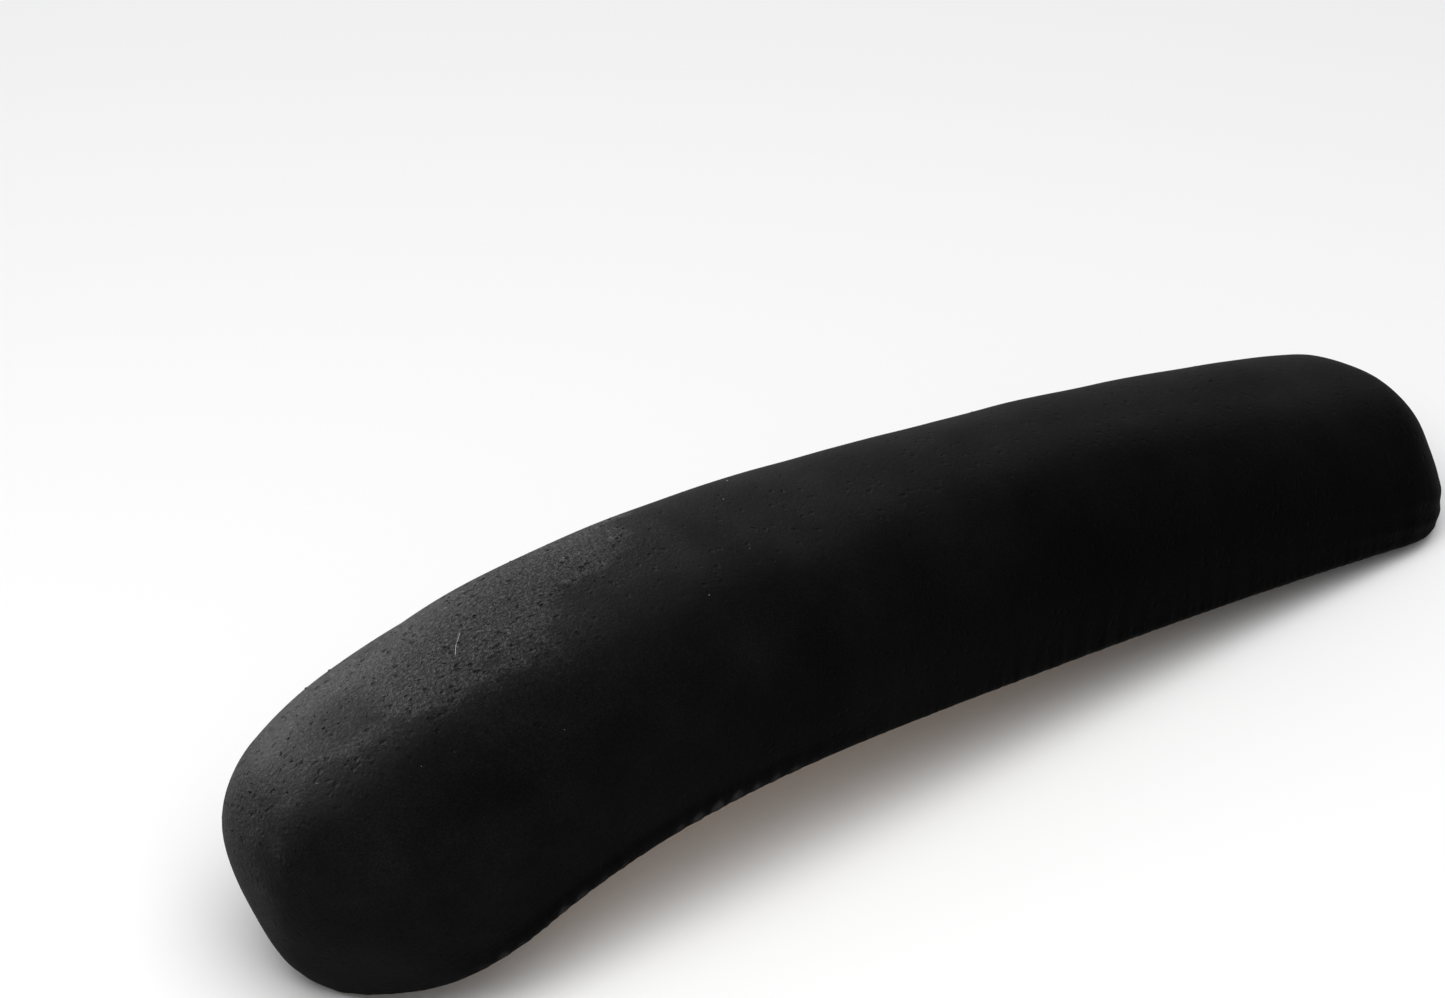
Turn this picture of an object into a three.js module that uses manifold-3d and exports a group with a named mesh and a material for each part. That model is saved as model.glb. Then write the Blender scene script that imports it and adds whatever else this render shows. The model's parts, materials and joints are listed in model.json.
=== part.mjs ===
// Office chair armrest pad in its stretch slip cover.
//
// A long padded bar: straight at the rear, drooping and swelling into a rounded nose.
// From the inside out it is a moulded plywood carrier with three pronged tee nuts, a firm
// foam core, a soft foam layer, a wadding wrap, a stapled liner, and a knitted slip cover
// whose elasticated hem grips the underside.
//
// Millimetres. +X runs from the rear end towards the nose, +Z is up. The pad stands on the
// rims of its two ends, and the origin is under the middle of it.
import * as THREE from 'three';
import { mergeVertices } from 'three/addons/utils/BufferGeometryUtils.js';
import Module from 'manifold-3d';

// ---------- Driving dimensions: the outside of the pad ----------
const padLength = 350; // along the curved underside
const rearWidth = 66;
const noseWidth = 81;
const noseWidthFrom = 300; // distance from the rear end at which the pad is at its widest
const rearHeight = 33;
const bodyHeight = 46;
const noseHeight = 59;
const rearRise = 150; // distance from the rear end over which the pad thickens
const noseSwell = 130; // distance from the nose end over which it swells
const bendStart = 183; // distance from the nose end at which the pad begins to droop
const bendFull = 37; // distance from the nose end at which it droops most steeply
const bodyBend = 1 / 3000; // curvature of the straight part, per millimetre
const noseBend = 1 / 140; // curvature of the nose
const rearEnd = { plan: 24, profile: 25, planSquareness: 2.6, profileSquareness: 2.7 };
const noseEnd = { plan: 44, profile: 28, planSquareness: 2, profileSquareness: 2 };
const sectionSquareness = 2.9; // 2 would be an ellipse, more is squarer
const shoulderShare = 0.89; // how wide the pad is at its shoulders against its rim
const rimChamfer = 2.2; // where the side turns under

// ---------- Driving dimensions: the layers ----------
const gap = 0.35; // between touching pieces
const coverThickness = 1.4;
const linerThickness = 0.5;
const waddingThickness = 2.5;
const boardThickness = 9;
const comfortFoamThickness = 14;

// ---------- Driving dimensions: the underside ----------
const coverMargin = 6; // how far the cover turns under before its hem
const hemWidth = 7;
const hemPly = 0.6;
const elasticThickness = 0.7;
const stapleClear = 3.25; // from the hem to the line of staples
const linerPastStaples = 3.4; // how far the liner runs on past the staples
const linerPastSeat = 1; // how far the liner stands back from the bolt seats

// ---------- Driving dimensions: the hardware ----------
const boltSpacing = 55;
const rearBoltPlace = 56; // from the rear end, along the underside
const nutBore = 5.2; // tapping size of an M6 thread
const nutBarrel = 7.8;
const nutFlange = 18;
const nutFlangeThickness = 1.2;
const nutEndRecess = 0.6; // the barrel stops this far short of its seat
const prong = { count: 4, width: 2.4, thickness: 1, length: 5, radius: 7.2 };
const seatDiameter = 21; // flat seat cut in the board round each bolt hole
const seatDepth = 0.9;
const staple = { crown: 10, wire: 1.2, thickness: 0.6, leg: 5.5 };
const stapleFit = 0.3; // between a staple and what it is driven through
const staplesPerSide = 9;
const staplesAtEnds = 1;
const stapleSideReach = 40; // from either end of the pad to the nearest side staple

// ---------- Facets ----------
const endSteps = 5;
const bodySteps = 12;
const sectionSteps = 11;
const firstEndAngle = 0.2; // where the rounded ends are cut off flat, in radians
const turnSides = 16;
const spineStep = 1;
const farAway = 60; // reach of a cutting block past whatever it cuts

const wasm = await Module();
wasm.setup();

// ---------- Solids ----------
function solidOf(geometry) {
  const bare = geometry.clone();
  bare.deleteAttribute('normal');
  bare.deleteAttribute('uv');
  const welded = mergeVertices(bare, 1e-4);
  return new wasm.Manifold(new wasm.Mesh({
    numProp: 3,
    vertProperties: new Float32Array(welded.attributes.position.array),
    triVerts: new Uint32Array(welded.index.array),
  }));
}

function geometryOf(manifold) {
  const cut = manifold.getMesh();
  const geometry = new THREE.BufferGeometry();
  geometry.setAttribute('position', new THREE.BufferAttribute(new Float32Array(cut.vertProperties), 3));
  geometry.setIndex(Array.from(cut.triVerts));
  geometry.computeVertexNormals();
  return geometry;
}

// Skin between rings of equally many points, closed by a fan at each end.
function loft(rings) {
  const count = rings[0].length;
  const index = [];
  for (let i = 0; i + 1 < rings.length; i += 1) {
    for (let j = 0; j < count; j += 1) {
      const next = (j + 1) % count;
      const [a, b] = [i * count + j, i * count + next];
      const [c, d] = [a + count, b + count];
      index.push(a, b, d, a, d, c);
    }
  }
  const last = (rings.length - 1) * count;
  for (let j = 1; j + 1 < count; j += 1) {
    index.push(0, j + 1, j);
    index.push(last, last + j, last + j + 1);
  }
  const geometry = new THREE.BufferGeometry().setFromPoints(rings.flat());
  geometry.setIndex(index);
  return geometry;
}

// ---------- The curved underside line ----------
const smoothStep = (t) => THREE.MathUtils.smoothstep(t, 0, 1);

function curvature(s) {
  const toNose = padLength - s;
  return THREE.MathUtils.lerp(bodyBend, noseBend, smoothStep((bendStart - toNose) / (bendStart - bendFull)));
}

function makeSpine() {
  const stops = [{ s: 0, x: 0, z: 0, angle: 0 }];
  while (stops.at(-1).s < padLength) {
    const from = stops.at(-1);
    const step = Math.min(spineStep, padLength - from.s);
    const middle = from.angle + curvature(from.s + step / 4) * step / 2;
    stops.push({
      s: from.s + step,
      x: from.x + Math.cos(middle) * step,
      z: from.z - Math.sin(middle) * step,
      angle: from.angle + curvature(from.s + step / 2) * step,
    });
  }
  const end = stops.at(-1);
  const level = Math.atan2(-end.z, end.x);
  return stops.map((stop) => ({
    s: stop.s,
    x: stop.x * Math.cos(level) - stop.z * Math.sin(level),
    z: stop.x * Math.sin(level) + stop.z * Math.cos(level),
    angle: stop.angle - level,
  }));
}

const spine = makeSpine();

// Point and droop angle at distance s, carried on straight past either end.
function spineAt(s) {
  const inside = THREE.MathUtils.clamp(s, 0, padLength);
  const index = Math.min(Math.floor(inside / spineStep), spine.length - 2);
  const [from, to] = [spine[index], spine[index + 1]];
  const share = (inside - from.s) / (to.s - from.s);
  const angle = THREE.MathUtils.lerp(from.angle, to.angle, share);
  const beyond = s - inside;
  return {
    x: THREE.MathUtils.lerp(from.x, to.x, share) + beyond * Math.cos(angle),
    z: THREE.MathUtils.lerp(from.z, to.z, share) - beyond * Math.sin(angle),
    angle,
  };
}

// Point at distance s, y across, and rise above the underside line.
function place(s, y, rise) {
  const at = spineAt(s);
  return new THREE.Vector3(at.x + rise * Math.sin(at.angle), y, at.z + rise * Math.cos(at.angle));
}

// Frame at that point: X along the underside, turned about its own Z, which is the normal.
function frameAt(s, y, rise, turn) {
  const at = spineAt(s);
  const frame = new THREE.Matrix4().makeRotationY(at.angle);
  frame.multiply(new THREE.Matrix4().makeRotationZ(turn));
  return frame.setPosition(place(s, y, rise));
}

// ---------- The outside of the pad, and the same shape set inwards ----------
function halfWidth(s) {
  return THREE.MathUtils.lerp(rearWidth, noseWidth, smoothStep(s / noseWidthFrom)) / 2;
}

// Rises from the rear end, runs level, and swells into the nose.
function height(s) {
  const body = THREE.MathUtils.lerp(rearHeight, bodyHeight, smoothStep(s / rearRise));
  return body + (noseHeight - bodyHeight) * smoothStep(1 - (padLength - s) / noseSwell);
}

// Rounded end: 0 at the tip and 1 from `reach` inwards.
function endShare(distance, reach, squareness) {
  const outside = THREE.MathUtils.clamp(1 - distance / reach, 0, 1);
  return (1 - outside ** squareness) ** (1 / squareness);
}

// Distances along the pad of its sections, when it is set inwards by `inset`.
function stations(inset) {
  const endPlaces = (end) => Array.from({ length: endSteps }, (_, i) => {
    const angle = THREE.MathUtils.lerp(firstEndAngle, Math.PI / 2, i / endSteps);
    return end.plan - (end.plan - inset) * Math.cos(angle) ** (2 / end.planSquareness);
  });
  const bodyLength = padLength - rearEnd.plan - noseEnd.plan;
  const body = Array.from({ length: bodySteps + 1 }, (_, i) => rearEnd.plan + bodyLength * i / bodySteps);
  return [...endPlaces(rearEnd), ...body, ...endPlaces(noseEnd).reverse().map((d) => padLength - d)];
}

function planShare(s, inset) {
  return endShare(s - inset, rearEnd.plan - inset, rearEnd.planSquareness)
    * endShare(padLength - s - inset, noseEnd.plan - inset, noseEnd.planSquareness);
}

function profileShare(s, inset) {
  return endShare(s - inset, rearEnd.profile - inset, rearEnd.profileSquareness)
    * endShare(padLength - s - inset, noseEnd.profile - inset, noseEnd.profileSquareness);
}

// One section: a flat floor at `floor` with chamfered rims, and a domed top.
function sectionRing(s, inset, floor) {
  const half = (halfWidth(s) - inset) * planShare(s, inset);
  const top = (height(s) - inset) * profileShare(s, inset);
  const chamfer = Math.min(rimChamfer, half / 2, top / 4);
  const ring = [place(s, -(half - chamfer), floor), place(s, half - chamfer, floor)];
  for (let j = 0; j <= sectionSteps; j += 1) {
    const angle = Math.PI * j / sectionSteps;
    const up = Math.abs(Math.sin(angle)) ** (2 / sectionSquareness);
    const across = Math.sign(Math.cos(angle)) * Math.abs(Math.cos(angle)) ** (2 / sectionSquareness);
    const lean = 1 - (1 - shoulderShare) * up;
    ring.push(place(s, half * across * lean, Math.max(floor + chamfer, top * up)));
  }
  return ring;
}

// The pad's outside shape set inwards by `inset`, with its floor at `floor`.
function envelope(inset, floor = inset) {
  return solidOf(loft(stations(inset).map((s) => sectionRing(s, inset, floor))));
}

// Straight-walled block inside the plan outline set inwards by `inset`.
function planBlock(inset, low, high) {
  const rings = stations(inset).map((s) => {
    const half = (halfWidth(s) - inset) * planShare(s, inset);
    return [place(s, -half, low), place(s, half, low), place(s, half, high), place(s, -half, high)];
  });
  return solidOf(loft(rings));
}

// The same inside shape, carried straight down through the floor.
function openEnvelope(inset) {
  return envelope(inset).add(planBlock(inset, -farAway / 4, inset + rimChamfer));
}

// Block over the whole plan between two rises, each given as a function of the distance.
function layerBlock(low, high) {
  const places = [-farAway / 4, ...stations(0), padLength + farAway / 4];
  const rings = places.map((s) => [
    place(s, -farAway, low(s)),
    place(s, farAway, low(s)),
    place(s, farAway, high(s)),
    place(s, -farAway, high(s)),
  ]);
  return solidOf(loft(rings));
}

// ---------- Where each layer starts, from the outside in ----------
const linerInset = coverThickness + gap;
const waddingInset = linerInset + linerThickness + gap;
const bodyInset = waddingInset + waddingThickness + gap;
const boardLow = waddingInset;
const boardTop = boardLow + boardThickness;
const coreLow = boardTop + gap;
const foamSplit = (s) => Math.max(height(s) - bodyInset - comfortFoamThickness, coreLow + gap);

// ---------- The hem, and what lies inside it ----------
const hemThickness = 2 * hemPly + 2 * gap + elasticThickness;
const hemTop = linerInset - gap;
const hemLow = hemTop - hemThickness;
const hemOutside = coverMargin + gap;
const hemInside = hemOutside + hemWidth;
const stapleInset = hemInside + stapleClear; // from the pad's edge
const linerMargin = stapleInset + linerPastStaples;

// ---------- Tee nuts ----------
const boltPlaces = [0, 1, 2].map((i) => rearBoltPlace + boltSpacing * i);
const nutSeatRise = boardTop + gap;
const nutBarrelLength = nutSeatRise - boardLow - seatDepth - nutEndRecess;

function turned(outline, sides) {
  const profile = [...outline, outline[0]].map(([radius, z]) => new THREE.Vector2(radius, z));
  return new THREE.LatheGeometry(profile, sides).rotateX(Math.PI / 2);
}

function prongs(grow) {
  const blocks = [];
  for (let i = 0; i < prong.count; i += 1) {
    const depth = prong.length + grow + nutFlangeThickness / 2;
    const block = new THREE.BoxGeometry(prong.thickness + 2 * grow, prong.width + 2 * grow, depth);
    block.translate(prong.radius, 0, nutFlangeThickness / 2 - depth / 2);
    block.rotateZ(2 * Math.PI * (i + 0.5) / prong.count);
    blocks.push(solidOf(block));
  }
  return blocks;
}

// Flange on top, barrel below, its flange's underside at height 0.
function teeNutGeometry() {
  const bore = nutBore / 2;
  const barrel = nutBarrel / 2;
  const flange = nutFlange / 2;
  const body = turned([
    [bore, -nutBarrelLength],
    [barrel, -nutBarrelLength],
    [barrel, 0],
    [flange, 0],
    [flange, nutFlangeThickness],
    [bore, nutFlangeThickness],
  ], turnSides);
  return geometryOf(prongs(0).reduce((nut, block) => nut.add(block), solidOf(body)));
}

// Everything below one bolt's flat seat, out to `grow` past its edge.
function seatCut(frame, grow) {
  const radius = seatDiameter / 2 + grow;
  const seat = new THREE.CylinderGeometry(radius, radius, farAway, 2 * turnSides);
  seat.rotateX(Math.PI / 2).translate(0, 0, boardLow + seatDepth - nutSeatRise - farAway / 2);
  return solidOf(seat.applyMatrix4(frame));
}

// What the board loses for one tee nut: barrel hole, prong slots and the flat seat below.
function teeNutCuts(frame) {
  const hole = new THREE.CylinderGeometry(nutBarrel / 2 + gap, nutBarrel / 2 + gap, farAway, turnSides);
  const slots = prongs(gap).map((block) => solidOf(geometryOf(block).applyMatrix4(frame)));
  return [solidOf(hole.rotateX(Math.PI / 2).applyMatrix4(frame)), seatCut(frame, 0), ...slots];
}

// What the foam loses for one flange.
function flangePocket(frame) {
  const radius = nutFlange / 2 + gap;
  const depth = 2 * (nutFlangeThickness + gap);
  const pocket = new THREE.CylinderGeometry(radius, radius, depth, turnSides);
  return solidOf(pocket.rotateX(Math.PI / 2).applyMatrix4(frame));
}

const nutFrames = boltPlaces.map((s) => frameAt(s, 0, nutSeatRise, 0));

// ---------- Staples ----------
const stapleRise = linerInset - gap; // top of the crown, under the liner

// Frames of the staples: a row down each side and one across each end.
function stapleFrames() {
  const frames = [];
  const sideLength = padLength - 2 * stapleSideReach;
  for (const side of [-1, 1]) {
    for (let i = 0; i < staplesPerSide; i += 1) {
      const s = stapleSideReach + sideLength * i / (staplesPerSide - 1);
      const y = side * (halfWidth(s) * planShare(s, 0) - stapleInset);
      const ahead = s + staple.crown / 2;
      const slope = (halfWidth(ahead) * planShare(ahead, 0) - stapleInset) * side - y;
      frames.push(frameAt(s, y, stapleRise, Math.atan2(slope, staple.crown / 2)));
    }
  }
  for (const s of [stapleInset, padLength - stapleInset]) {
    for (let i = 0; i < staplesAtEnds; i += 1) {
      frames.push(frameAt(s, 0, stapleRise, Math.PI / 2));
    }
  }
  return frames;
}

// U of flat wire: the crown hangs below height 0 and the legs point up.
function stapleGeometry(grow) {
  const outside = staple.crown / 2 + grow;
  const inside = staple.crown / 2 - staple.thickness - grow;
  const shape = new THREE.Shape([
    new THREE.Vector2(-outside, -staple.thickness - grow),
    new THREE.Vector2(outside, -staple.thickness - grow),
    new THREE.Vector2(outside, staple.leg + grow),
    new THREE.Vector2(inside, staple.leg + grow),
    new THREE.Vector2(inside, grow),
    new THREE.Vector2(-inside, grow),
    new THREE.Vector2(-inside, staple.leg + grow),
    new THREE.Vector2(-outside, staple.leg + grow),
  ]);
  const wide = staple.wire + 2 * grow;
  const wire = new THREE.ExtrudeGeometry(shape, { depth: wide, bevelEnabled: false });
  return wire.translate(0, 0, -wide / 2).rotateX(Math.PI / 2);
}

const staples = stapleFrames();
const stapleCuts = staples.map((frame) => solidOf(stapleGeometry(stapleFit).applyMatrix4(frame)));

// ---------- The soft layers ----------
const cutAway = (body, cuts) => cuts.reduce((left, cut) => left.subtract(cut), body);

function slipCover() {
  const shell = envelope(0).subtract(envelope(coverThickness));
  return shell.subtract(planBlock(coverMargin, -farAway / 4, coverThickness + 1));
}

function band(outside, inside, low, high) {
  return planBlock(outside, low, high).subtract(planBlock(inside, low - 1, high + 1));
}

// The hem turns back on itself round the elastic, with its fold at the mouth.
function hemCasing() {
  const pocket = band(coverMargin / 2, hemInside - hemPly, hemLow + hemPly, hemTop - hemPly);
  return band(hemOutside, hemInside, hemLow, hemTop).subtract(pocket);
}

function hemElastic() {
  const low = hemLow + hemPly + gap;
  return band(hemOutside + gap, hemInside - hemPly - gap, low, low + elasticThickness);
}

function innerLiner() {
  const shell = envelope(linerInset).subtract(envelope(linerInset + linerThickness));
  const open = shell.subtract(planBlock(linerMargin, -farAway / 4, waddingInset + 1));
  const seats = nutFrames.map((frame) => seatCut(frame, linerPastSeat));
  return cutAway(cutAway(open, seats), stapleCuts);
}

function waddingLayer() {
  return envelope(waddingInset).subtract(openEnvelope(waddingInset + waddingThickness));
}

// The board and both foams fill one shape between them.
const filling = envelope(bodyInset, boardLow);

function carrierBoard() {
  const board = filling.intersect(layerBlock(() => boardLow - 1, () => boardTop));
  return cutAway(cutAway(board, nutFrames.flatMap(teeNutCuts)), stapleCuts);
}

function coreFoam() {
  const block = filling.intersect(layerBlock(() => coreLow, foamSplit));
  return cutAway(block, nutFrames.map(flangePocket));
}

function comfortFoam() {
  return filling.intersect(layerBlock((s) => foamSplit(s) + gap, (s) => height(s) + farAway));
}

// ---------- Materials ----------
const finish = (color, roughness, metalness = 0) => new THREE.MeshStandardMaterial({ color, roughness, metalness });
const knit = () => finish(0x161617, 0.95);

// ---------- Assembly ----------
const group = new THREE.Group();
const pad = new THREE.Group();
group.add(pad);

function addPiece(name, geometry, material, frame = new THREE.Matrix4()) {
  const mesh = new THREE.Mesh(geometry, material);
  mesh.name = name;
  frame.decompose(mesh.position, mesh.quaternion, mesh.scale);
  pad.add(mesh);
}

addPiece('slip_cover', geometryOf(slipCover()), knit());
addPiece('hem_casing', geometryOf(hemCasing()), knit());
addPiece('hem_elastic', geometryOf(hemElastic()), finish(0x222224, 0.85));
addPiece('inner_liner', geometryOf(innerLiner()), finish(0x2b2b2d, 0.95));
addPiece('wadding_layer', geometryOf(waddingLayer()), finish(0xe6e4dd, 1));
addPiece('comfort_foam', geometryOf(comfortFoam()), finish(0xe9d9a6, 0.95));
addPiece('core_foam', geometryOf(coreFoam()), finish(0x8f949b, 0.95));
addPiece('carrier_board', geometryOf(carrierBoard()), finish(0xc49a66, 0.7));
['rear', 'middle', 'front'].forEach((end, i) => {
  addPiece(`t_nut_${end}`, teeNutGeometry(), finish(0xb9bcc0, 0.35, 1), nutFrames[i]);
});
staples.forEach((frame, i) => {
  addPiece(`staple_${String(i + 1).padStart(2, '0')}`, stapleGeometry(0), finish(0xa9adb2, 0.35, 1), frame);
});

const box = new THREE.Box3().setFromObject(group);
const middle = box.getCenter(new THREE.Vector3());
pad.position.set(-middle.x, -middle.y, -box.min.z);

export default group;
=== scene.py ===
"""Office chair armrest pad in its black stretch slip cover: the looks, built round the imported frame.

Shapes are worked out in millimetres along the pad's curved underside and turned into metres when a
mesh is made. A point on the pad is (s, y, rise): distance along the underside from the rear end,
distance across, and height above the underside line.
"""

import json
import math

import bmesh
import bpy
import numpy as np
from mathutils import Matrix, Vector


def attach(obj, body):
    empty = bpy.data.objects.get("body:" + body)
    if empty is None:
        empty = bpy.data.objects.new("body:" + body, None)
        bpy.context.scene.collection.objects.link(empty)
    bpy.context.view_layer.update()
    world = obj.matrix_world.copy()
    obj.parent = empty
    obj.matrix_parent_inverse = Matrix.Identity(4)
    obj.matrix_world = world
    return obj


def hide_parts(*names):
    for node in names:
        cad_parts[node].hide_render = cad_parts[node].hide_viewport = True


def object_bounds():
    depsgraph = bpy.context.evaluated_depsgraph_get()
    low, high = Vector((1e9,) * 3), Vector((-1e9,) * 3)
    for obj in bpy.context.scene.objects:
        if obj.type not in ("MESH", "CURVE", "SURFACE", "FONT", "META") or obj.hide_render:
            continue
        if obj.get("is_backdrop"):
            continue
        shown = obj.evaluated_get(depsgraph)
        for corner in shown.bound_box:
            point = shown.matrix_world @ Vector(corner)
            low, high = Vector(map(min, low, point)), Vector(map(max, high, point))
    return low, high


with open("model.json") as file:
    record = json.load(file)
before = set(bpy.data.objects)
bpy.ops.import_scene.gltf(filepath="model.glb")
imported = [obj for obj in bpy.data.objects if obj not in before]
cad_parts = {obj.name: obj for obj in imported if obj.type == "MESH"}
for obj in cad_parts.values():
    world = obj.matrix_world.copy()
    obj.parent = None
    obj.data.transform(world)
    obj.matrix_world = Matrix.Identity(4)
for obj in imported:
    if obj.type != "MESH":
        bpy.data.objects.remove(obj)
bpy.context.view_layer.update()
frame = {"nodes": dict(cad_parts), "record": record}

MM = 0.001

# ---------- The pad's outside, as the frame has it ----------
PAD_LENGTH = 350.0
REAR_WIDTH, NOSE_WIDTH, NOSE_WIDTH_FROM = 66.0, 81.0, 300.0
REAR_HEIGHT, BODY_HEIGHT, NOSE_HEIGHT = 33.0, 46.0, 59.0
REAR_RISE, NOSE_SWELL = 150.0, 130.0
BEND_START, BEND_FULL = 183.0, 37.0
BODY_BEND, NOSE_BEND = 1 / 3000, 1 / 140
REAR_END = {"plan": 24.0, "profile": 25.0, "plan_power": 2.6, "profile_power": 2.7}
NOSE_END = {"plan": 44.0, "profile": 28.0, "plan_power": 2.0, "profile_power": 2.0}
SECTION_POWER = 2.9
SHOULDER_SHARE = 0.89

# ---------- Layers and underside, as the frame has them ----------
GAP = 0.35
COVER = 1.4
LINER_INSET = COVER + GAP
LINER = 0.5
WADDING_INSET = LINER_INSET + LINER + GAP
WADDING = 2.5
BODY_INSET = WADDING_INSET + WADDING + GAP
BOARD_LOW = WADDING_INSET
BOARD = 9.0
BOARD_TOP = BOARD_LOW + BOARD
CORE_LOW = BOARD_TOP + GAP
COMFORT = 14.0
COVER_MARGIN = 6.0
HEM_WIDTH = 7.0
HEM_PLY = 0.6
ELASTIC = 0.7
HEM_OUTSIDE = COVER_MARGIN + GAP
HEM_INSIDE = HEM_OUTSIDE + HEM_WIDTH
HEM_TOP = LINER_INSET - GAP
HEM_LOW = HEM_TOP - 2 * HEM_PLY - 2 * GAP - ELASTIC
STAPLE_CLEAR = 3.25
LINER_PAST_STAPLES = 3.4
STAPLE_INSET = HEM_INSIDE + STAPLE_CLEAR
LINER_MARGIN = STAPLE_INSET + LINER_PAST_STAPLES
FIRST_BOLT = 56.0
BOLT_SPACING = 55.0
SEAT_DEPTH = 0.9
SEAT_POINT_OFFSET = 8.0  # from the bolt hole's middle to the point that the record gives on its seat
RIM_RADIUS = 2.2


def smooth_step(t):
    t = np.clip(t, 0, 1)
    return t * t * (3 - 2 * t)


def curvature(s):
    ramp = smooth_step((BEND_START - (PAD_LENGTH - s)) / (BEND_START - BEND_FULL))
    return BODY_BEND + (NOSE_BEND - BODY_BEND) * ramp


def make_spine(stops=1401):
    """The underside line, with its two ends level: distance, x, z and droop angle."""
    s = np.linspace(0, PAD_LENGTH, stops)
    step = s[1]
    turn = np.concatenate([[0], np.cumsum(curvature((s[1:] + s[:-1]) / 2) * step)])
    heading = (turn[1:] + turn[:-1]) / 2
    x = np.concatenate([[0], np.cumsum(np.cos(heading) * step)])
    z = -np.concatenate([[0], np.cumsum(np.sin(heading) * step)])
    level = math.atan2(-z[-1], x[-1])
    along = x * math.cos(level) - z * math.sin(level)
    up = x * math.sin(level) + z * math.cos(level)
    return s, along, up, turn - level


SPINE = make_spine()


def place(s, y, rise):
    """Points in the row frame, in millimetres, for arrays of (s, y, rise)."""
    inside = np.clip(s, 0, PAD_LENGTH)
    x = np.interp(inside, SPINE[0], SPINE[1])
    z = np.interp(inside, SPINE[0], SPINE[2])
    angle = np.interp(inside, SPINE[0], SPINE[3])
    beyond = s - inside
    along = x + beyond * np.cos(angle) + rise * np.sin(angle) + SHIFT[0]
    up = z - beyond * np.sin(angle) + rise * np.cos(angle) + SHIFT[1]
    return np.stack([along, y + 0 * along, up], -1)


def find_shift():
    """How far the underside line sits from its own start, from the rear bolt seat in the record."""
    seat = next(m for m in frame["record"]["mounts"] if m["name"] == "bolt_seat_rear")
    angle = np.interp(FIRST_BOLT, SPINE[0], SPINE[3])
    here = place(np.array(FIRST_BOLT), 0.0, BOARD_LOW + SEAT_DEPTH)
    x = seat["pos_m"][0] / MM - here[0] - SEAT_POINT_OFFSET * math.cos(angle)
    z = seat["pos_m"][2] / MM - here[2] + SEAT_POINT_OFFSET * math.sin(angle)
    return x, z


SHIFT = (0.0, 0.0)  # place() needs it while the real one is being found
SHIFT = find_shift()


def half_width(s):
    return (REAR_WIDTH + (NOSE_WIDTH - REAR_WIDTH) * smooth_step(s / NOSE_WIDTH_FROM)) / 2


def height(s):
    body = REAR_HEIGHT + (BODY_HEIGHT - REAR_HEIGHT) * smooth_step(s / REAR_RISE)
    return body + (NOSE_HEIGHT - BODY_HEIGHT) * smooth_step(1 - (PAD_LENGTH - s) / NOSE_SWELL)


def end_share(distance, reach, power):
    outside = np.clip(1 - distance / reach, 0, 1)
    return (1 - outside**power) ** (1 / power)


def share(s, inset, kind):
    rear = end_share(s - inset, REAR_END[kind] - inset, REAR_END[kind + "_power"])
    nose = end_share(PAD_LENGTH - s - inset, NOSE_END[kind] - inset, NOSE_END[kind + "_power"])
    return rear * nose


SAMPLES = 0.5 - 0.5 * np.cos(np.linspace(0, np.pi, 1201))  # 0 to 1, crowded at both ends


def loop_round(inset, rise, columns, tuck=0.0, squeeze=1.0):
    """One loop round the pad, at rise(s) on the shape set inwards by `inset`.

    `tuck` moves it further in from the plan outline, and `squeeze` narrows it towards the middle
    line. Points run evenly from the rear tip along +Y to the nose tip and back: (columns, 3).
    """
    edge = inset + tuck
    s = edge + (PAD_LENGTH - 2 * edge) * SAMPLES

    def upness(at):
        top = (height(at) - inset) * share(at, inset, "profile")
        return rise(at) / np.maximum(top, 1e-6)

    up = upness(s)
    within = np.flatnonzero(up <= 1)
    first, last = within[0], within[-1]
    rear, nose = s[first], s[last]
    if first > 0:
        rear = np.interp(-1, [-up[first - 1], -up[first]], [s[first - 1], s[first]])
    if last < len(s) - 1:
        nose = np.interp(1, [up[last], up[last + 1]], [s[last], s[last + 1]])
    s = rear + (nose - rear) * SAMPLES
    up = np.clip(upness(s), 0, 1)
    across = (1 - up**SECTION_POWER) ** (1 / SECTION_POWER)
    half = (half_width(s) - edge) * share(s, edge, "plan")
    y = half * across * (1 - (1 - SHOULDER_SHARE) * up) * squeeze
    y[0] = y[-1] = 0
    travelled = np.concatenate([[0], np.cumsum(np.hypot(np.diff(s), np.diff(y)))])
    even = np.linspace(0, travelled[-1], columns // 2 + 1)
    s, y = np.interp(even, travelled, s), np.interp(even, travelled, y)
    s, y = np.concatenate([s, s[-2:0:-1]]), np.concatenate([y, -y[-2:0:-1]])
    return np.stack([s, y, rise(s)], -1)


def flat_rise(value):
    return lambda s: value + 0 * s


def crown_rise(inset):
    return lambda s: height(s) - inset


def rise_between(low, high, level):
    """Rise that is low(s) at level 0 and high(s) at level 1."""
    return lambda s: low(s) + (high(s) - low(s)) * level


RIM_CROWDING = 1.35


def section_levels(count, crowding):
    """Levels from 0 to 1, spaced along the section, and closer near the rim where crowding is over 1."""
    angle = np.linspace(0, np.pi / 2, 400)
    rise = BODY_HEIGHT * np.sin(angle) ** (2 / SECTION_POWER)
    across = NOSE_WIDTH / 2 * np.cos(angle) ** (2 / SECTION_POWER)
    travelled = np.concatenate([[0], np.cumsum(np.hypot(np.diff(rise), np.diff(across)))])
    wanted = travelled[-1] * np.linspace(0, 1, count + 1) ** crowding
    return np.interp(wanted, travelled, rise) / BODY_HEIGHT


def straight_side(inset, low, high, columns, rows, crowding=1.0):
    """Loops up from rise low(s) to high(s) on the shape set inwards."""
    return np.array([loop_round(inset, rise_between(low, high, level), columns)
                     for level in section_levels(rows, crowding)])


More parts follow.
